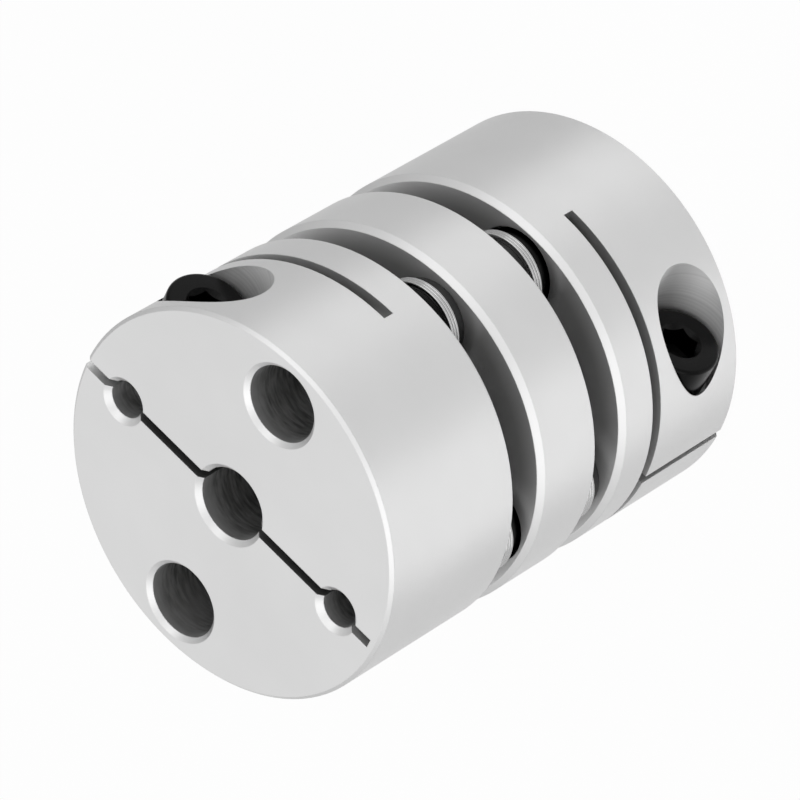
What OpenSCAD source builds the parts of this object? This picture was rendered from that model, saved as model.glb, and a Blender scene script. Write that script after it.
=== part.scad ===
// Double diaphragm shaft coupling with two clamp hubs.
// It stands on the lower hub's end face: Z is the axis of rotation and the origin is the centre
// of that face. Torque goes from one hub through a pack of thin steel leaves to the spacer, and
// through a second pack to the other hub. Each pack is screwed at two opposite lobes to its hub
// (on the X axis) and at the other two lobes to the spacer (on the Y axis), so it can flex.

/* [Hubs and spacer] */
// Outside diameter of the hubs and the spacer
outer_d = 34; // [33.6:0.2:40]
// Length of each hub along the axis
hub_len = 15.4; // [14.8:0.1:20]
// Length of the centre spacer
spacer_len = 7.3; // [6.4:0.1:14]
// Gap between a hub and the spacer, face to face
disc_gap = 3.2; // [2.8:0.1:4.4]
// Chamfer on the outer edges that face the leaf packs
edge_chamfer = 0.5; // [0.2:0.1:0.6]
// Chamfer on the outer edge of each hub's end face
end_chamfer = 0.3; // [0.2:0.1:0.6]
// Wall between the spacer's eye and the holes that clear the leaf screws' heads
eye_wall = 1.6; // [1.2:0.1:3]
// Chamfer on the edges of the spacer's eye
eye_chamfer = 0.3; // [0.1:0.1:0.5]

/* [Shaft bore and clamp] */
// Diameter of the shaft bore
bore_d = 6.35; // [4:0.05:10]
// Chamfer at the mouth of the bore
bore_chamfer = 0.45; // [0.2:0.05:0.8]
// Width of the lengthwise slit that lets the hub close on the shaft
slit_w = 0.9; // [0.5:0.1:1.2]
// Shift of the slit off the bore's centre plane, towards the clamp screw's head
slit_shift = 0.3; // [0:0.05:0.5]
// Web of metal left between the notch at the slit's blind end and the outside
slit_web = 0.8; // [0.5:0.1:1.2]
// Width of the cross cut that frees the clamping half from the flange
kerf_w = 1.1; // [0.8:0.1:1.4]
// Thickness of the flange between the cross cut and the leaf pack
flange_t = 3.9; // [3.6:0.1:4.2]
// Depth of the clamp screw's axis inside the outside surface
clamp_inset = 5.25; // [5:0.05:5.8]
// Distance of the clamp screw's axis from the hub's end face
clamp_from_end = 5.1; // [4.6:0.1:5.3]
// Distance of the clamp screw's seat from the bore's centre plane
clamp_seat = 5.6; // [4.8:0.1:6]
// Thread diameter of the clamp screw
clamp_screw_d = 4; // [3:0.5:4]
// Head diameter of the clamp screw
clamp_head_d = 7; // [6.4:0.1:7.2]
// Head height of the clamp screw
clamp_head_h = 4; // [3:0.1:4.2]
// Length of the clamp screw under its head
clamp_screw_len = 12; // [9:0.5:14]
// Size across the flats of the clamp screw's hexagon socket
clamp_socket = 3; // [2:0.5:3.5]
// Diameter of the counterbore round the clamp screw's head
counterbore_d = 7.7; // [7.4:0.1:8.2]
// Diameter of the hole that the clamp screw passes freely
clamp_through_d = 4.5; // [4.2:0.1:5]

/* [Leaf packs] */
// Depth of the four lobes' centres inside the outside surface
pitch_inset = 4.6; // [4.5:0.1:4.8]
// Diameter of each round lobe of a leaf
lobe_d = 8; // [7.4:0.1:8.2]
// Thickness of one leaf
leaf_t = 0.3; // [0.1:0.05:0.4]
// Diameter of the hole in the middle of a leaf
leaf_eye_d = 14.6; // [12:0.2:16]
// Width of the arms that join the lobes
arm_w = 3.6; // [2:0.2:4.2]

/* [Leaf screws, washers and collars] */
// Thread diameter of the leaf screws
screw_d = 4; // [3:0.5:4]
// Length of a leaf screw under its head
screw_len = 6; // [5.4:0.1:6.2]
// Head diameter of a leaf screw
head_d = 7; // [6.4:0.1:7.1]
// Head height of a leaf screw
head_h = 2.8; // [2:0.1:2.9]
// Size across the flats of a leaf screw's hexagon socket
socket = 2.5; // [2:0.5:3]
// Outside diameter of the washer under a leaf screw's head
washer_d = 7; // [6.4:0.1:7.6]
// Thickness of the washer under a leaf screw's head
washer_t = 0.5; // [0.3:0.1:0.7]
// Outside diameter of the collar between a leaf pack and its seat
collar_d = 7; // [6:0.1:7.6]

/* [Holes along the axis] */
// Diameter of the two key holes through each hub
key_hole_d = 6.6; // [5:0.1:6.8]
// Chamfer at the mouths of the key holes
key_hole_chamfer = 0.4; // [0.2:0.05:0.6]
// Diameter of the pockets and holes that clear the leaf screws' heads
pocket_d = 7.6; // [7.4:0.1:7.8]
// Depth of the head pockets in a hub's inner face
pocket_depth = 3; // [2.6:0.1:3.4]
// Diameter of the two pilot holes along each hub's slit
pilot_d = 3.3; // [2.5:0.1:3.4]
// Chamfer at the mouths of the pilot holes
pilot_chamfer = 0.5; // [0.2:0.05:0.6]

/* [Hidden] */
$fn = 96;

// A cut goes this far past the surface that it opens
cut = 1;
// Leaves in one pack
leaf_count = 3;
// Play on the diameter between a screw and the holes of leaves, washers, collars and threads
fit_clear = 0.1;
// Depth of a hexagon socket as a share of the head's height
socket_depth_share = 0.55;
// Chamfer on the top edge of a screw's head and on a screw's tip
screw_chamfer = 0.3;
// Depth of the round countersink at the mouth of a hexagon socket
socket_chamfer = 0.4;

outer_r = outer_d / 2;
pitch_r = outer_r - pitch_inset;
clamp_x = outer_r - clamp_inset;
spacer_eye_d = 2 * (pitch_r - pocket_d / 2 - eye_wall);
screw_hole_d = screw_d + fit_clear;
clamp_thread_d = clamp_screw_d + fit_clear;
pack_t = leaf_count * leaf_t;
// The pack stands midway in its gap, on collars of this height
collar_t = (disc_gap - pack_t) / 2;
// Heights of the faces, from the floor up
lower_seat_z = hub_len;
spacer_z = lower_seat_z + disc_gap;
spacer_top_z = spacer_z + spacer_len;
upper_seat_z = spacer_top_z + disc_gap;
lower_pack_z = lower_seat_z + collar_t;
upper_pack_z = spacer_top_z + collar_t;

steel = [0.80, 0.80, 0.79];
satin_aluminium = [0.83, 0.83, 0.83];
black_oxide = [0.10, 0.10, 0.10];
turned_steel = [0.30, 0.30, 0.30];

// Solid cylinder from z = 0 up, chamfered by low_c at the bottom and by top_c at the top
module chamfered_rod(d, h, low_c, top_c) {
    rotate_extrude()
        polygon([
            [0, 0], [d / 2 - low_c, 0], [d / 2, low_c],
            [d / 2, h - top_c], [d / 2 - top_c, h], [0, h]
        ]);
}

// Countersink for a mouth at z = 0 that opens upwards
module mouth(d, c) {
    translate([0, 0, -c])
        cylinder(d1 = d, d2 = d + 2 * c + 2 * cut, h = c + cut);
}

// Two copies of the children on the pitch circle, turned by angle
module opposite_pair(angle) {
    for (side = [0, 180])
        rotate([0, 0, angle + side])
            translate([pitch_r, 0, 0])
                children();
}

// Flat ring from z = 0 up
module ring(od, id, h) {
    difference() {
        cylinder(d = od, h = h);
        translate([0, 0, -cut])
            cylinder(d = id, h = h + 2 * cut);
    }
}

// Cap screw: seat at z = 0, head above, shank below
module cap_screw(d, len, hd, hh, flats) {
    socket_depth = hh * socket_depth_share;
    difference() {
        union() {
            rotate_extrude()
                polygon([
                    [0, 0], [hd / 2, 0], [hd / 2, hh - screw_chamfer],
                    [hd / 2 - screw_chamfer, hh], [0, hh]
                ]);
            translate([0, 0, -len])
                rotate_extrude()
                    polygon([
                        [0, 0], [d / 2 - screw_chamfer, 0], [d / 2, screw_chamfer],
                        [d / 2, len], [0, len]
                    ]);
        }
        translate([0, 0, hh - socket_depth])
            cylinder(d = flats / cos(30), h = socket_depth + cut, $fn = 6);
        translate([0, 0, hh])
            mouth(flats, socket_chamfer);
    }
}

// The slit along the hub, the notch at its blind end and the cross cut that meets it
module clamp_cuts() {
    notch_start = slit_web - outer_r;
    cut_height = hub_len - flange_t + cut;
    translate([-pitch_r, -slit_shift - slit_w / 2, flange_t])
        cube([pitch_r + outer_r + cut, slit_w, cut_height]);
    translate([notch_start, -slit_w / 2, flange_t])
        cube([-pitch_r - notch_start, slit_w, cut_height]);
    translate([0, -outer_r - cut, flange_t])
        cube([outer_r + cut, outer_d + 2 * cut, kerf_w]);
}

// Counterbore, free hole and threaded hole of the clamp screw, whose head faces -Y
module clamp_screw_holes() {
    translate([clamp_x, 0, hub_len - clamp_from_end]) {
        rotate([90, 0, 0])
            cylinder(d = clamp_through_d, h = outer_r);
        translate([0, -clamp_seat, 0])
            rotate([90, 0, 0])
                cylinder(d = counterbore_d, h = outer_r);
        rotate([-90, 0, 0])
            cylinder(d = clamp_thread_d, h = outer_r);
    }
}

// Holes that run along the axis of a hub
module hub_axial_holes() {
    translate([0, 0, -cut])
        cylinder(d = bore_d, h = hub_len + 2 * cut);
    translate([0, 0, hub_len])
        mouth(bore_d, bore_chamfer);
    // On the Y axis: a key goes in at the end face and reaches a screw head in the pocket
    opposite_pair(90) {
        translate([0, 0, -cut])
            cylinder(d = key_hole_d, h = hub_len + 2 * cut);
        translate([0, 0, hub_len])
            mouth(key_hole_d, key_hole_chamfer);
        translate([0, 0, -cut])
            cylinder(d = pocket_d, h = pocket_depth + cut);
    }
    // On the X axis: a pilot hole, opened to the thread's diameter through the flange
    opposite_pair(0) {
        translate([0, 0, flange_t])
            cylinder(d = pilot_d, h = hub_len);
        translate([0, 0, hub_len])
            mouth(pilot_d, pilot_chamfer);
        translate([0, 0, -cut])
            cylinder(d = screw_hole_d, h = flange_t + cut);
    }
}

// Clamp hub: seat face of the leaf pack at z = 0, end face at z = hub_len, slit open towards +X
module hub() {
    difference() {
        chamfered_rod(outer_d, hub_len, edge_chamfer, end_chamfer);
        hub_axial_holes();
        clamp_cuts();
        clamp_screw_holes();
    }
}

// The children of one hub's frame, set as the upper or the lower hub
module as_upper() {
    translate([0, 0, upper_seat_z])
        children();
}

module as_lower() {
    translate([0, 0, lower_seat_z])
        rotate([0, 180, 0])
            children();
}

module lower_hub() {
    color(satin_aluminium) as_lower() hub();
}

module upper_hub() {
    color(satin_aluminium) as_upper() hub();
}

// Centre spacer: threaded on the Y axis, with clearance for the hubs' screw heads on the X axis
module spacer() {
    color(satin_aluminium)
        translate([0, 0, spacer_z])
            difference() {
                chamfered_rod(outer_d, spacer_len, edge_chamfer, edge_chamfer);
                translate([0, 0, -cut])
                    cylinder(d = spacer_eye_d, h = spacer_len + 2 * cut);
                translate([0, 0, spacer_len])
                    mouth(spacer_eye_d, eye_chamfer);
                mirror([0, 0, 1])
                    mouth(spacer_eye_d, eye_chamfer);
                opposite_pair(90)
                    translate([0, 0, -cut])
                        cylinder(d = screw_hole_d, h = spacer_len + 2 * cut);
                opposite_pair(0)
                    translate([0, 0, -cut])
                        cylinder(d = pocket_d, h = spacer_len + 2 * cut);
            }
}

// One thin leaf: a square frame of four arms with a round lobe at each corner
module leaf() {
    frame_side = leaf_eye_d + 2 * arm_w;
    color(steel)
        linear_extrude(leaf_t)
            difference() {
                union() {
                    rotate(45)
                        square(frame_side, center = true);
                    for (angle = [0, 90, 180, 270])
                        rotate(angle)
                            translate([pitch_r, 0])
                                circle(d = lobe_d);
                }
                circle(d = leaf_eye_d);
                for (angle = [0, 90, 180, 270])
                    rotate(angle)
                        translate([pitch_r, 0])
                            circle(d = screw_hole_d);
            }
}

// Leaf number k of a pack, counted from 1 at the bottom
module stacked_leaf(pack_z, k) {
    translate([0, 0, pack_z + (k - 1) * leaf_t])
        leaf();
}

module lower_leaf_1() stacked_leaf(lower_pack_z, 1);
module lower_leaf_2() stacked_leaf(lower_pack_z, 2);
module lower_leaf_3() stacked_leaf(lower_pack_z, 3);
module upper_leaf_1() stacked_leaf(upper_pack_z, 1);
module upper_leaf_2() stacked_leaf(upper_pack_z, 2);
module upper_leaf_3() stacked_leaf(upper_pack_z, 3);

// One stack in its own frame, seat at z = 0: collar, then the pack, then washer and screw
module collars() {
    color(turned_steel) ring(collar_d, screw_hole_d, collar_t);
}

module washers() {
    color(black_oxide)
        translate([0, 0, collar_t + pack_t])
            ring(washer_d, screw_hole_d, washer_t);
}

module leaf_screw() {
    color(black_oxide)
        translate([0, 0, collar_t + pack_t + washer_t])
            cap_screw(screw_d, screw_len, head_d, head_h, socket);
}

// Where the two screws of a pack go that fix it to its hub, and the two that fix it to the spacer
module at_lower_hub() {
    translate([0, 0, lower_seat_z])
        opposite_pair(0)
            children();
}

module at_upper_hub() {
    translate([0, 0, upper_seat_z])
        opposite_pair(0)
            mirror([0, 0, 1])
                children();
}

module at_spacer_bottom() {
    translate([0, 0, spacer_z])
        opposite_pair(90)
            mirror([0, 0, 1])
                children();
}

module at_spacer_top() {
    translate([0, 0, spacer_top_z])
        opposite_pair(90)
            children();
}

module lower_hub_collars() at_lower_hub() collars();
module lower_spacer_collars() at_spacer_bottom() collars();
module upper_hub_collars() at_upper_hub() collars();
module upper_spacer_collars() at_spacer_top() collars();

module lower_hub_washers() at_lower_hub() washers();
module lower_spacer_washers() at_spacer_bottom() washers();
module upper_hub_washers() at_upper_hub() washers();
module upper_spacer_washers() at_spacer_top() washers();

module lower_hub_screws() at_lower_hub() leaf_screw();
module lower_spacer_screws() at_spacer_bottom() leaf_screw();
module upper_hub_screws() at_upper_hub() leaf_screw();
module upper_spacer_screws() at_spacer_top() leaf_screw();

// Clamp screw in the frame of its hub, head towards -Y
module clamp_screw() {
    color(black_oxide)
        translate([clamp_x, -clamp_seat, hub_len - clamp_from_end])
            rotate([90, 0, 0])
                cap_screw(clamp_screw_d, clamp_screw_len, clamp_head_d, clamp_head_h, clamp_socket);
}

module lower_clamp_screw() as_lower() clamp_screw();
module upper_clamp_screw() as_upper() clamp_screw();

lower_hub();
upper_hub();
spacer();
lower_leaf_1();
lower_leaf_2();
lower_leaf_3();
upper_leaf_1();
upper_leaf_2();
upper_leaf_3();
lower_hub_collars();
lower_spacer_collars();
upper_hub_collars();
upper_spacer_collars();
lower_hub_washers();
lower_spacer_washers();
upper_hub_washers();
upper_spacer_washers();
lower_hub_screws();
lower_spacer_screws();
upper_hub_screws();
upper_spacer_screws();
lower_clamp_screw();
upper_clamp_screw();
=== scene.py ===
# %% [markdown]
# # Double diaphragm coupling
#
# The coupling joins two shafts. It stands on one hub: two clamp hubs, a centre spacer and two
# packs of thin steel leaves. The CAD model gives every place and size. This script gives each
# piece its finish, and swaps the leaves, rings and screws for meshes with rounded edges, sockets
# and threads. Blender works in metres. A size here is either written times MM, or is a plain
# number of millimetres that is multiplied by MM where it is used.

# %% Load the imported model
import bmesh
import bpy
import numpy as np
from mathutils import Matrix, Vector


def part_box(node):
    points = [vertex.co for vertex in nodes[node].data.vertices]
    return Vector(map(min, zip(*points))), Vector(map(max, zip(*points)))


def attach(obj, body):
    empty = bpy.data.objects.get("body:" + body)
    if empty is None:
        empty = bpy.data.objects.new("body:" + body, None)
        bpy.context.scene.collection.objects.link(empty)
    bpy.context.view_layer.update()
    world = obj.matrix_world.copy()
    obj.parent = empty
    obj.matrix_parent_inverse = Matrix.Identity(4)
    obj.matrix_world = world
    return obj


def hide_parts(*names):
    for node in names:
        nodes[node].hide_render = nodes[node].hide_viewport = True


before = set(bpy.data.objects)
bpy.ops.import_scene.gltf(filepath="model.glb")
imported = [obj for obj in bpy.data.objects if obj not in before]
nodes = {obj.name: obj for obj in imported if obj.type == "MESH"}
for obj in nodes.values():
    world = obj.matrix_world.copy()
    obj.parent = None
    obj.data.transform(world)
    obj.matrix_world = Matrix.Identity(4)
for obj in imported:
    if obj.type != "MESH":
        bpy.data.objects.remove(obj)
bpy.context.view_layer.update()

MM = 0.001

# %% [markdown]
# ## Camera
#
# The photograph was taken with a long lens from above one end, with the camera rolled so that the
# upright axis of the coupling runs from top left to bottom right. The camera's place and
# directions were fitted to the outline, the gap edges and the holes. A camera looks along its own
# -Z axis, so the third column of its matrix points back from the object to the camera.

# %% Set the camera
LENS_MM = 281.62
CAMERA_AT_MM = (-145.293, -353.747, 363.508)
CAMERA_RIGHT = (-0.688397, -0.335663, -0.642993)
CAMERA_UP = (0.667292, -0.640549, -0.380024)
CLIP_NEAR, CLIP_FAR = 0.05, 20

camera_data = bpy.data.cameras.new("camera")
camera_data.lens = LENS_MM
camera_data.clip_start, camera_data.clip_end = CLIP_NEAR, CLIP_FAR
camera = bpy.data.objects.new("camera", camera_data)
turned = np.eye(4)
turned[:3, 0] = CAMERA_RIGHT
turned[:3, 1] = CAMERA_UP
turned[:3, 2] = np.cross(CAMERA_RIGHT, CAMERA_UP)
turned[:3, 3] = np.array(CAMERA_AT_MM) * MM
camera.matrix_world = Matrix(turned)
bpy.context.scene.collection.objects.link(camera)
bpy.context.scene.camera = camera
print("camera looks back along", turned[:3, 2].round(3))

# %% [markdown]
# ## Nodes and colours
#
# Every material, the world and the floor are built from nodes. One function adds a node, sets its
# properties and its inputs, and links the inputs that are given as sockets. Colours are written
# as the sRGB hex values that a screen shows. Shaders work with linear light, so one function
# turns them: below 0.04045 the curve is a straight line, above it a power of 2.4. A third gives
# each kind of ray its own level, so that the camera, the metal and a lit surface can each see
# the studio differently.

# %% Functions for nodes and colours
def add_node(tree, kind, inputs=None, **properties):
    """Adds a node; inputs gives, by socket name or number, a value or a socket to link from."""
    node = tree.nodes.new(kind)
    for key, value in properties.items():
        setattr(node, key, value)
    for key, value in (inputs or {}).items():
        if isinstance(value, bpy.types.NodeSocket):
            tree.links.new(value, node.inputs[key])
        else:
            node.inputs[key].default_value = value
    return node


def linear(hex_colour):
    """The linear RGBA colour of an sRGB hex value such as "#D3D3D2"."""
    srgb = np.array([int(hex_colour[k:k + 2], 16) for k in (1, 3, 5)]) / 255
    low, high = srgb / 12.92, ((srgb + 0.055) / 1.055) ** 2.4
    return (*np.where(srgb <= 0.04045, low, high).tolist(), 1.0)


def level_by_ray(tree, camera_level, glossy_level, diffuse_level):
    """A socket that gives camera, glossy and diffuse rays their own level. Transmission rays
    get the camera's: level = diffuse + glossy ray (glossy - diffuse) + camera ray (...)."""
    path = add_node(tree, "ShaderNodeLightPath")
    direct = add_node(tree, "ShaderNodeMath", {0: path.outputs["Is Camera Ray"],
                                               1: path.outputs["Is Transmission Ray"]},
                      operation="MAXIMUM")
    glossy = add_node(tree, "ShaderNodeMapRange", {"Value": path.outputs["Is Glossy Ray"],
                                                   "To Min": diffuse_level,
                                                   "To Max": glossy_level})
    return add_node(tree, "ShaderNodeMapRange", {"Value": direct.outputs[0],
                                                 "To Min": glossy.outputs[0],
                                                 "To Max": camera_level}).outputs[0]


print("mid grey in linear light:", round(linear("#808080")[0], 4))

# %% [markdown]
# ## White studio
#
# The photograph is a catalogue picture on pure white with soft light from all round. The camera
# sees a plain white world, and surfaces are lit by it at a lower level. The metal sees it white
# overhead, greyer towards the horizon and a little darker on one side, which keeps the round
# bodies from looking flat. The dark side is a direction; how much a ray points towards it is the
# dot product of the two.

# %% Make the world
AMBIENT = 0.55
HORIZON_IN_METAL = 0.6
WHITE_FROM_HEIGHT = 0.5
DARK_SIDE = (0.966, 0.085, 0.242)  # azimuth 5 and elevation 14 degrees
DARK_SIDE_REACH = (0.55, 0.95)
DARK_SIDE_LEVEL = 0.8
WHITE = linear("#FFFFFF")

scene = bpy.context.scene
scene.view_settings.view_transform = "Standard"
world = bpy.data.worlds.new("white studio")
scene.world = world
world.use_nodes = True
tree = world.node_tree
tree.nodes.clear()
direction = add_node(tree, "ShaderNodeTexCoord").outputs["Generated"]
height = add_node(tree, "ShaderNodeSeparateXYZ", {0: direction}).outputs[2]
room = add_node(tree, "ShaderNodeMapRange",
                {"Value": height, "From Min": 0.0, "From Max": WHITE_FROM_HEIGHT,
                 "To Min": HORIZON_IN_METAL, "To Max": 1.0},
                interpolation_type="SMOOTHSTEP").outputs[0]
towards_dark = add_node(tree, "ShaderNodeVectorMath", {0: direction, 1: DARK_SIDE},
                        operation="DOT_PRODUCT").outputs["Value"]
shade = add_node(tree, "ShaderNodeMapRange",
                 {"Value": towards_dark, "From Min": DARK_SIDE_REACH[0],
                  "From Max": DARK_SIDE_REACH[1], "To Min": 1.0, "To Max": DARK_SIDE_LEVEL},
                 interpolation_type="SMOOTHSTEP").outputs[0]
reflected = add_node(tree, "ShaderNodeMath", {0: room, 1: shade}, operation="MULTIPLY").outputs[0]
sky = add_node(tree, "ShaderNodeBackground",
               {"Color": WHITE, "Strength": level_by_ray(tree, 1.0, reflected, AMBIENT)})
add_node(tree, "ShaderNodeOutputWorld", {"Surface": sky.outputs[0]})
print("world: metal sees", HORIZON_IN_METAL, "at the horizon and 1.0 overhead")

# %% [markdown]
# ## Floor
#
# The floor is white paper with a glow that only the camera and the metal see, so it reads as
# white and still keeps a faint shadow under the coupling. The metal also sees a soft mirror in
# it, as on a polished table. It is one large square, far wider than the picture, and lies a hair
# below z = 0, so that it never shares a plane with the end face that stands on it.

# %% Make the floor
FLOOR_HALF = 3.0
FLOOR_BELOW = 0.05 * MM
FLOOR_GLOW = 0.96
FLOOR_IN_METAL = 0.10
FLOOR_MIRROR = 0.75
FLOOR_POLISH = 0.25
PAPER = linear("#F5F5F5")


def empty_material(name):
    """A new material with no nodes; returns it and its node tree."""
    material = bpy.data.materials.new(name)
    material.use_nodes = True
    material.node_tree.nodes.clear()
    return material, material.node_tree


corners = np.array([[-1, -1], [1, -1], [1, 1], [-1, 1]]) * FLOOR_HALF
floor_mesh = bpy.data.meshes.new("floor")
floor_mesh.from_pydata(np.c_[corners, np.full(4, -FLOOR_BELOW)].tolist(), [], [(0, 1, 2, 3)])
floor = bpy.data.objects.new("floor", floor_mesh)
scene.collection.objects.link(floor)

white_paper, tree = empty_material("white paper")
paper = add_node(tree, "ShaderNodeBsdfDiffuse", {"Color": PAPER})
polish = add_node(tree, "ShaderNodeBsdfAnisotropic",
                  {"Color": (FLOOR_MIRROR, FLOOR_MIRROR, FLOOR_MIRROR, 1.0),
                   "Roughness": FLOOR_POLISH})
glow = add_node(tree, "ShaderNodeEmission",
                {"Color": WHITE, "Strength": level_by_ray(tree, 1.0, FLOOR_IN_METAL, 0)})
both = add_node(tree, "ShaderNodeMixShader", {0: level_by_ray(tree, FLOOR_GLOW, 1.0, 0),
                                              1: paper.outputs[0], 2: glow.outputs[0]})
mirrored = add_node(tree, "ShaderNodeAddShader", {0: both.outputs[0], 1: polish.outputs[0]})
finish = add_node(tree, "ShaderNodeMixShader", {0: level_by_ray(tree, 0, 1, 0),
                                                1: both.outputs[0], 2: mirrored.outputs[0]})
add_node(tree, "ShaderNodeOutputMaterial", {"Surface": finish.outputs[0]})
floor_mesh.materials.append(white_paper)
print("floor of", 2 * FLOOR_HALF, "m just below z = 0")

# %% [markdown]
# ## Lamps
#
# Two large soft boxes stand left and right of the camera, with the camera in the darker lane
# between them. On the round bodies they give two soft bright bands with a dip between, and on the
# chamfers the brightest lines. A wide faint fill in front keeps the lane from going dark. A lamp
# of area A and power P shines at P / (pi A) on each side, so the function takes that level, where
# 1 is white, and works out the power.

# %% Light the coupling
CENTRE = np.array([0.0, 0.0, 22.25]) * MM


def soft_box(name, azimuth, elevation, distance, width, height, brightness):
    """A rectangular lamp that faces the coupling. Azimuth and elevation are in degrees, with
    azimuth 0 on the +X side and 90 on the +Y side; distance, width and height are in metres."""
    a, e = np.radians((azimuth, elevation))
    back = np.array([np.cos(a) * np.cos(e), np.sin(a) * np.cos(e), np.sin(e)])
    side = np.array([-np.sin(a), np.cos(a), 0.0])
    turned = np.eye(4)
    turned[:3, 0], turned[:3, 1], turned[:3, 2] = side, np.cross(back, side), back
    turned[:3, 3] = CENTRE + back * distance
    data = bpy.data.lights.new(name, "AREA")
    data.shape = "RECTANGLE"
    data.size, data.size_y = width, height
    data.energy = brightness * np.pi * width * height
    lamp = bpy.data.objects.new(name, data)
    lamp.matrix_world = Matrix(turned)
    scene.collection.objects.link(lamp)
    print(f"{name}: {data.energy:.2f} W at azimuth {azimuth}, elevation {elevation}")


soft_box("soft box left", azimuth=-172, elevation=38, distance=0.60,
         width=0.60, height=0.40, brightness=0.76)
soft_box("soft box right", azimuth=-58, elevation=40, distance=0.60,
         width=0.36, height=0.40, brightness=0.62)
soft_box("front fill", azimuth=-112, elevation=40, distance=0.90,
         width=1.00, height=0.60, brightness=0.20)

# %% [markdown]
# ## Satin anodised aluminium
#
# The hubs and the spacer are turned from aluminium bar, drilled and slit, then blasted and
# anodised clear. That gives the eye a pale, even grey that is soft in every reflection. A fully
# metallic shader of middling roughness does this, with the grey as the metal's own colour.
#
# Deep in the holes and in the narrow gaps beside the leaves the metal is painted greyer, the
# deeper it lies: that is painted shade, where little light reaches. How deep a point lies is the
# smaller of two numbers: its distance in from the round outside, and for a hub its distance from
# the open end face. The skin itself is at depth 0, so the colour changes only inside. Math nodes,
# each of which does one step of arithmetic, work this out at every point of the surface.

# %% Functions that tell where a point lies in a body
HUB_R = 17.0
WALL_REACH = 0.03


def distance_from(tree, value, mark):
    """How far value lies from a mark in mm, either way, in metres: |value - mark|."""
    past = add_node(tree, "ShaderNodeMath", {0: value, 1: mark * MM}, operation="SUBTRACT")
    return add_node(tree, "ShaderNodeMath", {0: past.outputs[0]}, operation="ABSOLUTE").outputs[0]


def between(tree, value, low, high):
    """1 where value lies from low to high, both in mm and reached past by WALL_REACH, else 0:
    its distance from their middle is less than half their distance."""
    half = ((high - low) / 2 + WALL_REACH) * MM
    return add_node(tree, "ShaderNodeMath",
                    {0: distance_from(tree, value, (low + high) / 2), 1: half},
                    operation="LESS_THAN").outputs[0]


def depth_in_body(tree, radius, z, open_end):
    """Metres below the skin: HUB_R less the radius or, if it is less, the distance from the open
    end face, whose height in mm is None for a body that has none."""
    from_side = add_node(tree, "ShaderNodeMath", {0: HUB_R * MM, 1: radius},
                         operation="SUBTRACT").outputs[0]
    if open_end is None:
        return from_side
    return add_node(tree, "ShaderNodeMath", {0: from_side, 1: distance_from(tree, z, open_end)},
                    operation="MINIMUM").outputs[0]


print("depths count from a skin at radius", HUB_R, "mm")

# %% [markdown]
# ## Where the cuts are
#
# The walls of the saw cuts are painted greyer than the skin, and those of the slit the darkest:
# that is painted shade, as the narrow cuts let little light in. A saw cut is a thin slab, so a
# point is in it when it lies between the cut's two walls: the lengthwise slit lies across Y, the
# cross cut across Z. The counterbore of the clamp screw is a box in which no other hole lies; it
# is open to the blasting, gets no painted shade and stays pale. The two hubs are one part turned
# over, so heights are counted from each hub's own seat or open end. A mask takes only what is
# below the skin, so the outside keeps its finish.

# %% Find the cuts of each hub
SLIT_X = (-12.4, 12.4)
SLIT_Y = (-0.75, 0.15)
KERF_W = 1.1
FLANGE_T = 3.9
COUNTERBORE_X = (7.9, 15.6)
COUNTERBORE_Y = (-17.0, -5.6)
COUNTERBORE_FROM_END = (1.25, 8.95)
SAWN_BELOW = 0.04
MILLED_BELOW = 0.08


def box_mm(node):
    """Lowest and highest corner of a CAD node, in millimetres."""
    return [np.array(corner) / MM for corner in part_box(node)]


low_end, low_seat = (corner[2] for corner in box_mm("lower_hub"))
high_seat, high_end = (corner[2] for corner in box_mm("upper_hub"))
OPEN_END = {"lower_hub": low_end, "upper_hub": high_end, "spacer": None}
KERF_Z = {"lower_hub": (low_seat - FLANGE_T - KERF_W, low_seat - FLANGE_T),
          "upper_hub": (high_seat + FLANGE_T, high_seat + FLANGE_T + KERF_W)}
SLIT_Z = {"lower_hub": (low_end, KERF_Z["lower_hub"][1]),
          "upper_hub": (KERF_Z["upper_hub"][0], high_end)}
print("cross cuts in mm:", {hub: np.round(z, 2).tolist() for hub, z in KERF_Z.items()})


def all_of(tree, *masks):
    """1 where every mask is 1, else 0: their product."""
    product = masks[0]
    for mask in masks[1:]:
        product = add_node(tree, "ShaderNodeMath", {0: product, 1: mask},
                           operation="MULTIPLY").outputs[0]
    return product


def cut_masks(tree, node, x, y, z, depth):
    """Three sockets for a hub: 1 on the walls of its slit, on the walls of its cross cut, and
    inside its counterbore, and 0 elsewhere."""
    sawn, milled = (add_node(tree, "ShaderNodeMath", {0: depth, 1: below * MM},
                             operation="GREATER_THAN").outputs[0]
                    for below in (SAWN_BELOW, MILLED_BELOW))
    slit = all_of(tree, between(tree, y, *SLIT_Y), between(tree, z, *SLIT_Z[node]),
                  between(tree, x, *SLIT_X), sawn)
    kerf = all_of(tree, between(tree, z, *KERF_Z[node]), sawn)
    from_middle = distance_from(tree, x, 0)
    from_end = distance_from(tree, z, OPEN_END[node])
    counterbore = all_of(tree, between(tree, from_middle, *COUNTERBORE_X),
                         between(tree, y, *COUNTERBORE_Y),
                         between(tree, from_end, *COUNTERBORE_FROM_END), milled)
    return slit, kerf, counterbore
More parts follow.
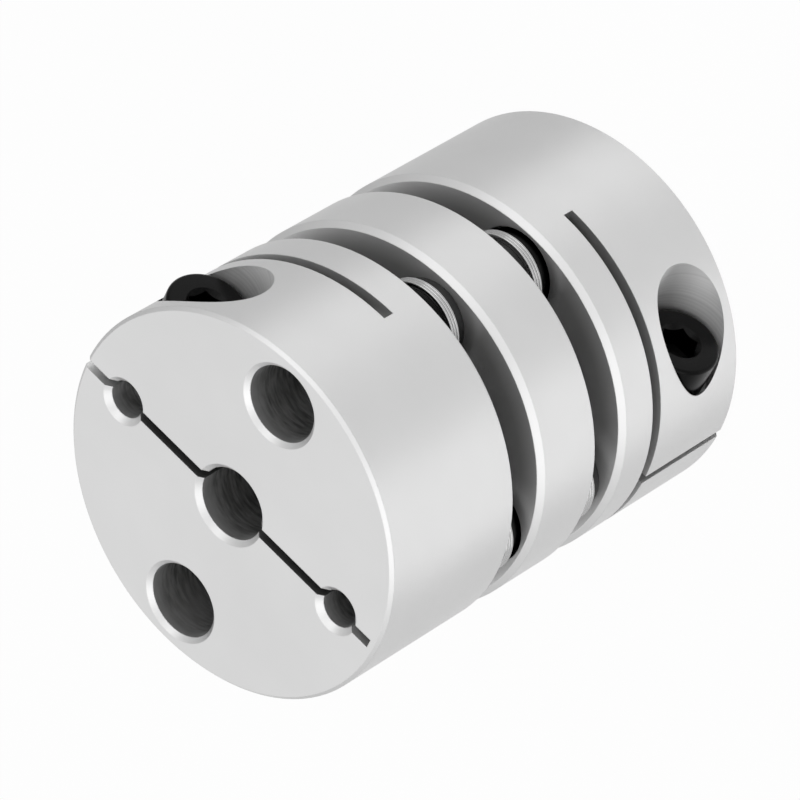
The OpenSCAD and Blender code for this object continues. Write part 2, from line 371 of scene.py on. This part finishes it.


# %% [markdown]
# ## Greys of the aluminium
#
# The skin is one pale grey with faint clouds, since clear anodising is never quite even. Drilled
# walls are darker, which is painted shade, and uneven: a noise that is flattened along the axis
# draws the rings that a drill leaves. The faces beside the leaves get one plain darker grey, which
# is painted shade. The counterbore has the fine lines of an end mill, counted along its own axis,
# and each saw cut has one grey of painted shade. Real rings and lines are finer; both are drawn
# about 0.3 mm apart so that they show.
#
# A Mix node blends two colours. It has sockets for several types of data, some with the same
# name, so its sockets for colours are picked by number.

# %% Colour the aluminium
FACTOR, COLOUR_A, COLOUR_B, MIXED = 0, 6, 7, 2
CLOUD_SIZE = 6.0 * MM
HOLE_STARTS = 0.5
HOLE_IS_DEEP = 2.2
DRILL_MARKS = 1.6 * MM
MARKS_FLATTENED = 5.0
MARKS_RANGE = (0.35, 0.65)
CUTTER_LINES = 0.3 * MM
SKIN_GREYS = linear("#DADADA"), linear("#E0E0E0")
# painted shade: the drilled walls are greyer than the skin; the drill rings mix the two greys
DRILL_RING_SHADE_GREYS = linear("#8C8C8C"), linear("#C4C4C4")
MILLED_GREYS = linear("#D2D2D2"), linear("#ECECEC")
# painted shade on the faces in the gaps beside the leaves
GAP_FACE_SHADE_GREY = linear("#C0C0C0")
# painted shade in the saw cuts: a little in the cross cut, most in the slit
CROSS_CUT_SHADE_GREY = linear("#D0D0D0")
SLIT_SHADE_GREY = linear("#888888")


def drill_rings_and_shade(tree, place):
    """The colour of a drilled wall: a grey darker than the skin, which is painted shade, with
    rings round the upright axis.
    """
    flattened = add_node(tree, "ShaderNodeVectorMath",
                         {0: place, 1: (1.0, 1.0, MARKS_FLATTENED)}, operation="MULTIPLY")
    marks = add_node(tree, "ShaderNodeTexNoise",
                     {"Vector": flattened.outputs[0], "Scale": 1 / DRILL_MARKS, "Detail": 4.0})
    uneven = add_node(tree, "ShaderNodeMapRange",
                      {"Value": marks.outputs[0], "From Min": MARKS_RANGE[0],
                       "From Max": MARKS_RANGE[1]})
    return add_node(tree, "ShaderNodeMix",
                    {FACTOR: uneven.outputs[0], COLOUR_A: DRILL_RING_SHADE_GREYS[0],
                     COLOUR_B: DRILL_RING_SHADE_GREYS[1]}, data_type="RGBA").outputs[MIXED]


def skin_and_holes(tree, node, place, z, depth):
    """The colour of a body without its cuts: the skin's outside, and inside the drilled walls,
    darker with depth, which is painted shade. What lies deep on the body's lowest or highest plane
    is a face beside the leaves, which gets one grey of painted shade."""
    clouds = add_node(tree, "ShaderNodeTexNoise",
                      {"Vector": place, "Scale": 1 / CLOUD_SIZE, "Detail": 2.0})
    skin = add_node(tree, "ShaderNodeMix",
                    {FACTOR: clouds.outputs[0], COLOUR_A: SKIN_GREYS[0],
                     COLOUR_B: SKIN_GREYS[1]}, data_type="RGBA")
    low, high = (corner[2] for corner in box_mm(node))
    on_end = add_node(tree, "ShaderNodeMath",
                      {0: distance_from(tree, z, (low + high) / 2),
                       1: ((high - low) / 2 - WALL_REACH) * MM}, operation="GREATER_THAN")
    inner = add_node(tree, "ShaderNodeMix",
                     {FACTOR: on_end.outputs[0], COLOUR_A: drill_rings_and_shade(tree, place),
                      COLOUR_B: GAP_FACE_SHADE_GREY}, data_type="RGBA")
    # painted shade that grows from HOLE_STARTS to HOLE_IS_DEEP below the skin
    inside = add_node(tree, "ShaderNodeMapRange",
                      {"Value": depth, "From Min": HOLE_STARTS * MM,
                       "From Max": HOLE_IS_DEEP * MM})
    return add_node(tree, "ShaderNodeMix",
                    {FACTOR: inside.outputs[0], COLOUR_A: skin.outputs[MIXED],
                     COLOUR_B: inner.outputs[MIXED]}, data_type="RGBA").outputs[MIXED]


def with_cuts(tree, colour, y, slit, kerf, counterbore):
    """The given colour with those of a hub's cuts laid over it where their masks are 1: the
    counterbore's milled lines, and the painted shade of the cross cut and the slit.
    """
    lines = add_node(tree, "ShaderNodeTexNoise",
                     {"W": y, "Scale": 1 / CUTTER_LINES, "Detail": 2.0}, noise_dimensions="1D")
    milled = add_node(tree, "ShaderNodeMix",
                      {FACTOR: lines.outputs[0], COLOUR_A: MILLED_GREYS[0],
                       COLOUR_B: MILLED_GREYS[1]}, data_type="RGBA").outputs[MIXED]
    # the cross cut's and the slit's greys laid here are painted shade
    for mask, laid in ((counterbore, milled), (kerf, CROSS_CUT_SHADE_GREY), (slit, SLIT_SHADE_GREY)):
        colour = add_node(tree, "ShaderNodeMix",
                          {FACTOR: mask, COLOUR_A: colour, COLOUR_B: laid},
                          data_type="RGBA").outputs[MIXED]
    return colour


print("skin in linear light:", [round(grey[0], 3) for grey in SKIN_GREYS])

# %% [markdown]
# ## Turned and blasted surface
#
# Blasting leaves only a trace of the lathe's grooves, which follow the turning: on the round side
# they are rings at one height, on the end faces rings at one radius. So radius plus height is one
# number that counts them on both, and a one-dimensional noise of it makes them. The real grooves
# are 0.05 mm apart and the blasted grain is finer; both are drawn at about 0.15 mm so that they
# show. A bevel node rounds the edges in the shading alone, which lets each catch a line of light.
#
# The grooves also stretch every highlight across themselves, which is what makes a turned part
# look turned. The shader does this with its anisotropy. Its tangent runs round the axis, along
# the grooves, and a quarter turn sets the stretch across them. The cross product of the axis with
# a point's place is a vector that points round the axis, and its length is the point's radius.

# %% Make the aluminium of each body
AXIS = (0.0, 0.0, 1.0)
SATIN = 0.45
MATT = 0.65
HIGHLIGHT_STRETCH = 0.4
QUARTER_TURN = 0.25
GROOVE_PITCH = 0.15 * MM
GRAIN_SIZE = 0.18 * MM
SURFACE_DEPTH = 0.004 * MM
GROOVE_STRENGTH = 0.25
GRAIN_STRENGTH = 0.3
EDGE_SOFTNESS = 0.10 * MM
EDGE_SAMPLES = 4


def turned_and_blasted(tree, place, radius, z):
    """The normal of the surface: softened edges, then grooves, then grain."""
    across = add_node(tree, "ShaderNodeMath", {0: radius, 1: z}, operation="ADD")
    grooves = add_node(tree, "ShaderNodeTexNoise",
                       {"W": across.outputs[0], "Scale": 1 / GROOVE_PITCH, "Detail": 1.0},
                       noise_dimensions="1D")
    grain = add_node(tree, "ShaderNodeTexNoise",
                     {"Vector": place, "Scale": 1 / GRAIN_SIZE, "Detail": 2.0})
    surface = add_node(tree, "ShaderNodeBevel", {"Radius": EDGE_SOFTNESS}, samples=EDGE_SAMPLES)
    for noise, strength in ((grooves, GROOVE_STRENGTH), (grain, GRAIN_STRENGTH)):
        surface = add_node(tree, "ShaderNodeBump",
                           {"Height": noise.outputs[0], "Strength": strength,
                            "Distance": SURFACE_DEPTH, "Normal": surface.outputs[0]})
    return surface.outputs[0]


def aluminium_body(name, node):
    """Clear anodised aluminium for the body whose CAD node is given, as its depths are its own."""
    material, tree = empty_material(name)
    place = add_node(tree, "ShaderNodeTexCoord").outputs["Object"]
    x, y, z = add_node(tree, "ShaderNodeSeparateXYZ", {0: place}).outputs
    round_the_axis = add_node(tree, "ShaderNodeVectorMath", {0: AXIS, 1: place},
                              operation="CROSS_PRODUCT").outputs[0]
    radius = add_node(tree, "ShaderNodeVectorMath", {0: round_the_axis},
                      operation="LENGTH").outputs["Value"]
    depth = depth_in_body(tree, radius, z, OPEN_END[node])
    colour, roughness = skin_and_holes(tree, node, place, z, depth), SATIN
    if node in KERF_Z:
        slit, kerf, counterbore = cut_masks(tree, node, x, y, z, depth)
        colour = with_cuts(tree, colour, y, slit, kerf, counterbore)
        roughness = add_node(tree, "ShaderNodeMapRange",
                             {"Value": counterbore, "To Min": SATIN, "To Max": MATT}).outputs[0]
    metal = add_node(tree, "ShaderNodeBsdfPrincipled",
                     {"Base Color": colour, "Metallic": 1.0, "Roughness": roughness,
                      "Normal": turned_and_blasted(tree, place, radius, z),
                      "Tangent": round_the_axis, "Anisotropic": HIGHLIGHT_STRETCH,
                      "Anisotropic Rotation": QUARTER_TURN})
    add_node(tree, "ShaderNodeOutputMaterial", {"Surface": metal.outputs[0]})
    return material


body_aluminium = {}
for body in ("lower_hub", "upper_hub", "spacer"):
    title = "clear anodised aluminium " + body.replace("_", " ")
    body_aluminium[body] = aluminium_body(title, body)
    for material_slot in nodes[body].material_slots:
        material_slot.material = body_aluminium[body]
print("aluminium on", ", ".join(body_aluminium))

# %% [markdown]
# ## Steel finishes
#
# Three more metals are needed. The leaves are stainless spring strip: cold rolled, so bright,
# with fine lines along the rolling direction. The collars are turned from steel bar; their dark
# grey is painted shade, for the gaps they stand in. The screws and washers are alloy steel
# blackened in a hot oxide bath, which leaves a nearly black, slightly oily skin; only their edges
# and grazing views catch the light. The grain of both is finer than 0.12 mm and is drawn at that
# size so that it shows.

# %% Make the steels
ROLLING_LINE = 0.08 * MM
ROLLING_LENGTH = 4.0 * MM
OXIDE_GRAIN = 0.12 * MM
PIT_DEPTH = 0.003 * MM


def rough_metal(name, greys, roughness, bump, cell_size):
    """A metal mottled between two hex greys, with a bump of the same noise, whose cells have the
    given size along X, Y and Z."""
    material, tree = empty_material(name)
    place = add_node(tree, "ShaderNodeTexCoord").outputs["Object"]
    cells = add_node(tree, "ShaderNodeMapping",
                     {"Vector": place, "Scale": [1 / size for size in cell_size]})
    noise = add_node(tree, "ShaderNodeTexNoise",
                     {"Vector": cells.outputs[0], "Scale": 1.0, "Detail": 2.0})
    colour = add_node(tree, "ShaderNodeMix",
                      {FACTOR: noise.outputs[0], COLOUR_A: linear(greys[0]),
                       COLOUR_B: linear(greys[1])}, data_type="RGBA")
    bumps = add_node(tree, "ShaderNodeBump", {"Height": noise.outputs[0], "Strength": bump,
                                              "Distance": PIT_DEPTH})
    metal = add_node(tree, "ShaderNodeBsdfPrincipled",
                     {"Base Color": colour.outputs[MIXED], "Metallic": 1.0,
                      "Roughness": roughness, "Normal": bumps.outputs[0]})
    add_node(tree, "ShaderNodeOutputMaterial", {"Surface": metal.outputs[0]})
    return material


rolled_stainless = rough_metal("bright rolled stainless steel", ("#B4B4B4", "#CECECE"),
                               roughness=0.16, bump=0.3,
                               cell_size=(ROLLING_LENGTH, ROLLING_LINE, ROLLING_LINE))
# the collars' dark grey is painted shade, for the gaps they stand in
shaded_turned_steel = rough_metal("turned steel with painted shade", ("#343434", "#444444"),
                           roughness=0.38, bump=0.3, cell_size=3 * (OXIDE_GRAIN,))
black_oxide = rough_metal("black oxide steel, lightly oiled", ("#151515", "#222222"),
                          roughness=0.30, bump=0.4, cell_size=3 * (OXIDE_GRAIN,))
print("steel finishes:", rolled_stainless.name, "/", shaded_turned_steel.name, "/", black_oxide.name)

# %% [markdown]
# ## From a grid of points to a piece
#
# Rings, screws and threads are all surfaces of two parameters: the angle round an axis, and the
# way along a profile. Each is worked out as one array of points, rows along the profile and
# columns round the axis. The faces between them are built from row and column numbers. Points
# that coincide, at the seam and at the poles, are merged, which closes the surface, and the faces
# are turned outwards. A piece is placed by moving its points, so its object stays at the origin.

# %% Functions that turn a grid into a piece
COLUMNS = 96
ANGLE = np.linspace(0, 2 * np.pi, COLUMNS + 1)
MERGE_DISTANCE = 0.0002 * MM
SHARP_ANGLE = np.radians(35)
FACING = {
    "up": np.eye(3),
    "down": np.diag([1.0, -1.0, -1.0]),
    "front": np.array([[1.0, 0, 0], [0, 0, -1], [0, 1, 0]]),
}


def around(radii, heights):
    """Points round the Z axis at each ANGLE: x = radius cos(angle), y = radius sin(angle),
    z = height. Both are one number, or have a row for each row of points."""
    x, y = radii * np.cos(ANGLE), radii * np.sin(ANGLE)
    return np.stack(np.broadcast_arrays(x, y, heights), -1)


def placed(grid, at_mm, facing):
    """The grid of local points in mm, turned so that its +Z faces up, down or front (-Y), and
    moved to at_mm, in metres."""
    return (grid @ FACING[facing].T + np.array(at_mm)) * MM


def grid_faces(rows, columns, first):
    """Quads between neighbouring rows and columns of a grid whose points start at number first."""
    r, c = np.meshgrid(np.arange(rows - 1), np.arange(columns - 1), indexing="ij")
    point = first + r * columns + c
    quads = np.stack([point, point + 1, point + columns + 1, point + columns], -1)
    return quads.reshape(-1, 4)


def finish_piece(name, mesh, material):
    """Merges the points of a mesh that coincide, turns its faces outwards, shades it smooth
    between its sharp edges, gives it its finish and hangs it on the body."""
    work = bmesh.new()
    work.from_mesh(mesh)
    bmesh.ops.remove_doubles(work, verts=work.verts, dist=MERGE_DISTANCE)
    bmesh.ops.recalc_face_normals(work, faces=work.faces)
    open_edges = sum(len(e.link_faces) != 2 for e in work.edges)
    work.to_mesh(mesh)
    work.free()
    mesh.shade_smooth()
    mesh.set_sharp_from_angle(angle=SHARP_ANGLE)
    mesh.materials.append(material)
    piece = bpy.data.objects.new(name, mesh)
    scene.collection.objects.link(piece)
    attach(piece, "root")
    print(f"{name}: {len(mesh.polygons)} faces, {open_edges} open edges")
    return piece


def make_piece(name, grids, material):
    """One piece from one or more grids of placed points."""
    starts = np.cumsum([0] + [g.shape[0] * g.shape[1] for g in grids])
    points = np.concatenate([g.reshape(-1, 3) for g in grids])
    quads = np.concatenate([grid_faces(g.shape[0], g.shape[1], s) for g, s in zip(grids, starts)])
    mesh = bpy.data.meshes.new(name)
    mesh.from_pydata(points.tolist(), [], quads.tolist())
    return finish_piece(name, mesh, material)


print("a full turn has", COLUMNS, "columns")

# %% [markdown]
# ## Places
#
# The CAD model says where everything sits. Each leaf screw's stack is read from the boxes of the
# nodes, so nothing is fitted by hand: the two screws of a group stand at the outer ends of its
# box, and its box's ends give the heights.

# %% Read the places from the CAD nodes
def stack_places(node):
    """The axes of the two rings or screws in a node, as (x, y) in mm. Both are as wide as the
    box's short side, so their axes are half of that inside its long ends."""
    low, high = box_mm(node)
    size = high - low
    along = int(np.argmax(size[:2]))
    reach = high[along] - min(size[:2]) / 2
    return [tuple(side * reach * np.eye(2)[along]) for side in (1, -1)]


GROUPS = ("lower_hub", "lower_spacer", "upper_hub", "upper_spacer")
GROUP_FACING = {"lower_hub": "up", "lower_spacer": "down",
                "upper_hub": "down", "upper_spacer": "up"}
for group in GROUPS:
    print(group, "stacks at", stack_places(group + "_washers"), "facing", GROUP_FACING[group])

# %% [markdown]
# ## Leaves
#
# Each pack has three leaves, cut from 0.3 mm strip: a square frame with a round lobe at each
# corner, an eye for the shaft and four screw holes. A leaf is a flat shape with holes, which is
# just what a 2D curve fills by itself, so each outline becomes one closed line of a curve, the
# curve gets its thickness and a rounded edge, and is then made a mesh. The rounding leaves a fine
# dark groove between two leaves, and that is what makes a pack read as a pack. All outlines are
# drawn one rounding inside the metal, because the rounding adds that much outside them.

# %% Cut the leaves
PITCH_R = 12.4
LOBE_R = 4.0
LEAF_EYE_R = 7.3
LEAF_HOLE_R = 2.05
ARM_W = 3.6
LEAF_EDGE = 0.14
LEAF_T = 0.3
LOBE_STEPS = 48
CORNERS = np.array([(1, 0), (0, 1), (-1, 0), (0, -1)])


def circle(centre, r, steps=COLUMNS):
    """A closed ring of points: centre plus r times (cos, sin)."""
    angle = np.linspace(0, 2 * np.pi, steps, endpoint=False)
    return np.array(centre) + r * np.c_[np.cos(angle), np.sin(angle)]


def leaf_outline(inset):
    """The outer line of a leaf. An arm's edge is a line at distance d from the middle, at 45
    degrees. A lobe's circle meets it at the angle 45 degrees + acos((d - pitch/sqrt 2) / r), so
    each lobe is the arc between plus and minus that angle, and the arms are the gaps between."""
    edge_distance = LEAF_EYE_R + ARM_W - inset
    r = LOBE_R - inset
    half = np.radians(45) + np.arccos((edge_distance - PITCH_R / np.sqrt(2)) / r)
    angle = np.linspace(-half, half, LOBE_STEPS)
    turns = np.radians([0, 90, 180, 270])[:, None]
    x = PITCH_R * np.cos(turns) + r * np.cos(angle + turns)
    y = PITCH_R * np.sin(turns) + r * np.sin(angle + turns)
    return np.c_[x.ravel(), y.ravel()]


def cut_leaf(name, low_z):
    """A leaf whose lower face is at low_z, in mm, from its outlines drawn as one filled curve."""
    curve = bpy.data.curves.new(name, "CURVE")
    curve.dimensions = "2D"
    curve.fill_mode = "BOTH"
    curve.extrude = (LEAF_T / 2 - LEAF_EDGE) * MM
    curve.bevel_depth = LEAF_EDGE * MM
    curve.bevel_resolution = 2
    eye = circle((0, 0), LEAF_EYE_R + LEAF_EDGE, 2 * COLUMNS)
    holes = [circle(PITCH_R * corner, LEAF_HOLE_R + LEAF_EDGE) for corner in CORNERS]
    for outline in [leaf_outline(LEAF_EDGE), eye] + holes:
        line = curve.splines.new("POLY")
        line.points.add(len(outline) - 1)
        flat = np.c_[outline * MM, np.zeros(len(outline)), np.ones(len(outline))]
        line.points.foreach_set("co", flat.ravel())
        line.use_cyclic_u = True
    carrier = bpy.data.objects.new(name + ".curve", curve)
    mesh = bpy.data.meshes.new_from_object(carrier)
    mesh.name = name
    bpy.data.objects.remove(carrier)
    mesh.transform(Matrix.Translation((0, 0, (low_z + LEAF_T / 2) * MM)))
    return finish_piece(name, mesh, rolled_stainless)


for pack in ("lower", "upper"):
    for k in (1, 2, 3):
        node = f"{pack}_leaf_{k}"
        leaf = cut_leaf(f"{pack}_pack_leaf_{k}", box_mm(node)[0][2])
        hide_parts(node)
span = np.array([v.co for v in leaf.data.vertices]) / MM
print("leaf reaches", span.max(0).round(3), "from", span.min(0).round(3))

# %% [markdown]
# ## Collars and washers
#
# A turned collar stands between a pack and its seat, and a washer lies under each screw head.
# Both are rings with a broken edge. The profile of a ring is a rectangle with rounded corners,
# gone round once and carried round the axis, which closes on itself in both directions.

# %% Turn the collars and washers
RING_OUTER_R = 3.5
RING_HOLE_R = 2.05
RING_EDGE = 0.08
CORNER_STEPS = 5
RING_FINISH = {"collars": (shaded_turned_steel, "collar_steel"),
               "washers": (black_oxide, "fastener_black")}


def ring_profile(low, high):
    """A rectangle from the hole to the outer radius and from low to high, its four corners
    quarter circles of radius RING_EDGE, as a closed loop of (radius, height)."""
    inner, outer = RING_HOLE_R + RING_EDGE, RING_OUTER_R - RING_EDGE
    centres = np.array([[outer, high - RING_EDGE], [inner, high - RING_EDGE],
                        [inner, low + RING_EDGE], [outer, low + RING_EDGE]])
    starts = np.radians([0, 90, 180, 270])
    angle = starts[:, None] + np.linspace(0, np.pi / 2, CORNER_STEPS)
    loop = centres[:, None] + RING_EDGE * np.stack([np.cos(angle), np.sin(angle)], -1)
    loop = loop.reshape(-1, 2)
    return np.concatenate([loop, loop[:1]])


for group in GROUPS:
    for kind, (material, slot) in RING_FINISH.items():
        node = f"{group}_{kind}"
        low, high = box_mm(node)
        profile = ring_profile(low[2], high[2])
        ring = around(profile[:, :1], profile[:, 1:])
        grids = [placed(ring, (*xy, 0), "up") for xy in stack_places(node)]
        piece = make_piece(f"{group}_turned_{kind}", grids, material)
        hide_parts(node)

# %% [markdown]
# ## Cap screws
#
# All ten screws are hexagon socket cap screws with an M4 thread, pitch 0.7 mm. One surface makes
# a whole screw: it starts at the centre of the socket's floor, climbs the six walls to the round
# countersink, crosses the top, rounds the head's edge, goes down the side and under the head, and
# follows the thread to the tip. The socket's wall is at radius h(angle), with
# h = (flats / 2) / cos(angle in its sixth of a turn - 30 degrees), so it stays a function of the
# angle. The thread's radius depends on turns = height / pitch - angle / full turn: its fraction
# says where in one thread a point lies, and a clipped triangle wave of it gives flank and crest.

# %% Functions for a screw
THREAD_R = 2.0
THREAD_PITCH = 0.7
THREAD_DEPTH = 0.42
THREAD_STARTS = 0.6
FLANK_STEEPNESS = 1.6
CREST_FLAT = 0.2
ROWS_PER_PITCH = 12
TIP_CHAMFER = 0.5
HEAD_EDGE = 0.3
HEAD_EDGE_STEPS = 8
UNDERHEAD_EDGE = 0.12
SOCKET_COUNTERSINK = 0.4
SOCKET_SHARE = 0.55
SOCKET_CONE = 0.35
SOCKET_STEPS = 4


def thread_depth_at(height):
    """How deep the thread is cut, from 0 on a crest to THREAD_DEPTH in a root. The triangle wave
    1 - |2 fraction - 1| is steeper than needed and clipped, which leaves flat crests and roots."""
    fraction = np.mod(height / THREAD_PITCH - ANGLE / (2 * np.pi), 1)
    wave = 1 - np.abs(2 * fraction - 1)
    return THREAD_DEPTH * np.clip(wave * FLANK_STEEPNESS - CREST_FLAT, 0, 1)


def head_grid(head_r, head_h, flats, turn_degrees):
    """Points of a screw's head in mm, from the middle of its socket to under its edge."""
    sixth = np.mod(ANGLE - np.radians(turn_degrees), np.pi / 3)
    hexagon = flats / 2 / np.cos(sixth - np.pi / 6)
    floor_z = head_h * (1 - SOCKET_SHARE)
    cone_z = head_h - SOCKET_COUNTERSINK + hexagon - flats / 2
    mouth_r = flats / 2 + SOCKET_COUNTERSINK
    step = np.linspace(0, 1, SOCKET_STEPS)[:, None]
    arc = np.linspace(np.pi / 2, 0, HEAD_EDGE_STEPS)[:, None]
    return np.concatenate([
        around(step * hexagon, floor_z - (1 - step) * SOCKET_CONE),
        around(hexagon, floor_z + step * (cone_z - floor_z)),
        around(hexagon + step * (mouth_r - hexagon), cone_z + step * (head_h - cone_z)),
        around(head_r - HEAD_EDGE + HEAD_EDGE * np.cos(arc),
               head_h - HEAD_EDGE + HEAD_EDGE * np.sin(arc)),
        around(np.array([[head_r], [head_r - UNDERHEAD_EDGE]]),
               np.array([[UNDERHEAD_EDGE], [0.0]])),
    ])


def shank_grid(length):
    """Points of a screw's shank in mm, from the seat at height 0 to the middle of its tip."""
    height = np.arange(-THREAD_STARTS, -length, -THREAD_PITCH / ROWS_PER_PITCH)[:, None]
    cut_in = np.clip((-THREAD_STARTS - height) / THREAD_PITCH, 0, 1)
    thread = THREAD_R - cut_in * thread_depth_at(height)
    tip = THREAD_R - TIP_CHAMFER + (height + length)
    return np.concatenate([around(THREAD_R, 0.0)[None], around(np.minimum(thread, tip), height),
                           around(np.array([[THREAD_R - TIP_CHAMFER], [0.0]]), -length)])


def screw_grid(length, head_r, head_h, flats, turn_degrees):
    """Points of a whole cap screw: seat at height 0, head above, shank below, in mm."""
    return np.concatenate([head_grid(head_r, head_h, flats, turn_degrees), shank_grid(length)])


print("thread M4:", THREAD_PITCH, "mm pitch,", THREAD_DEPTH, "mm deep")

# %% [markdown]
# ## Leaf screws
#
# Eight low head screws hold the packs, each put through its leaves into a hub or the spacer. A
# head lies on the side of the pack away from the part its screw holds in, so it faces up or down.
# Tightening leaves the sockets turned by chance, so the two of a group get different turns.

# %% Make the leaf screws
LEAF_SCREW = {"length": 6.0, "head_r": 3.5, "head_h": 2.8, "flats": 2.5}
LEAF_SCREW_TURNS = (12, 37)

for group in GROUPS:
    node = group + "_screws"
    low, high = box_mm(node)
    facing = GROUP_FACING[group]
    seat = high[2] - LEAF_SCREW["head_h"] if facing == "up" else low[2] + LEAF_SCREW["head_h"]
    grids = [placed(screw_grid(**LEAF_SCREW, turn_degrees=turn), (*xy, seat), facing)
             for xy, turn in zip(stack_places(node), LEAF_SCREW_TURNS)]
    piece = make_piece(group + "_cap_screws", grids, black_oxide)
    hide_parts(node)

# %% [markdown]
# ## Clamp screws
#
# One full size cap screw per hub pulls the slit shut. Both heads face the front, deep in their
# counterbores, with the sockets turned as in the photograph. The seat is found from the box: its
# front end is the top of the head.

# %% Make the clamp screws
CLAMP_SCREW = {"length": 12.0, "head_r": 3.5, "head_h": 4.0, "flats": 3.0}
CLAMP_TURN = {"lower": 0, "upper": 20}

clamp_places = {}
for hub, turn in CLAMP_TURN.items():
    node = hub + "_clamp_screw"
    low, high = box_mm(node)
    middle = (low + high) / 2
    clamp_places[hub] = (middle[0], low[1] + CLAMP_SCREW["head_h"], middle[2])
    grid = placed(screw_grid(**CLAMP_SCREW, turn_degrees=turn), clamp_places[hub], "front")
    piece = make_piece(hub + "_clamp_cap_screw", [grid], black_oxide)
    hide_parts(node)
    print(node, "seat at", np.round(clamp_places[hub], 2))

# %% [markdown]
# ## Thread in the clamp hole
#
# The clamp screw goes through one half of the hub and screws into the other. From behind, the
# empty end of that threaded hole shows. Its thread is a thin sleeve that lines the hole: inside,
# the screw's own thread plus a little play; outside, just beyond the wall of the hole, where it
# can't be seen. It ends just below the round outside of the hub, so each column of the grid runs
# from the slit to where the hub's skin is at that angle: y = sqrt(R^2 - x^2). The hole is
# countersunk before it is tapped, so the thread dies out over the last MOUTH. That also keeps its
# crests inside the hub: they lie nearer to the hub's axis than the wall, where the skin is lower.

# %% Cut the threads in the hubs
SLEEVE_R = 2.1
SLEEVE_SINK = 0.05
SLEEVE_FROM = 0.9
SLEEVE_ROWS = 200
THREAD_PLAY = 0.04
MOUTH = 0.45

for hub, place_mm in clamp_places.items():
    x = place_mm[0] + SLEEVE_R * np.cos(ANGLE)
    end = np.sqrt(HUB_R ** 2 - x ** 2) - SLEEVE_SINK
    along = np.linspace(0, 1, SLEEVE_ROWS)[:, None]
    y = SLEEVE_FROM + along * (end - SLEEVE_FROM)
    height = place_mm[1] - y
    cut_in = np.clip((end - y) / MOUTH, 0, 1)
    inside = around(THREAD_R + THREAD_PLAY - cut_in * thread_depth_at(height), height)
    outside = around(SLEEVE_R, height)
    sleeve = placed(np.concatenate([inside, outside[::-1], inside[:1]]), place_mm, "front")
    make_piece(hub + "_clamp_thread", [sleeve], body_aluminium[hub + "_hub"])
    proud = np.hypot(sleeve[..., 0], sleeve[..., 1]).max() / MM - HUB_R
    print(f"{hub} clamp thread: highest point {proud:.3f} mm past the hub's skin")
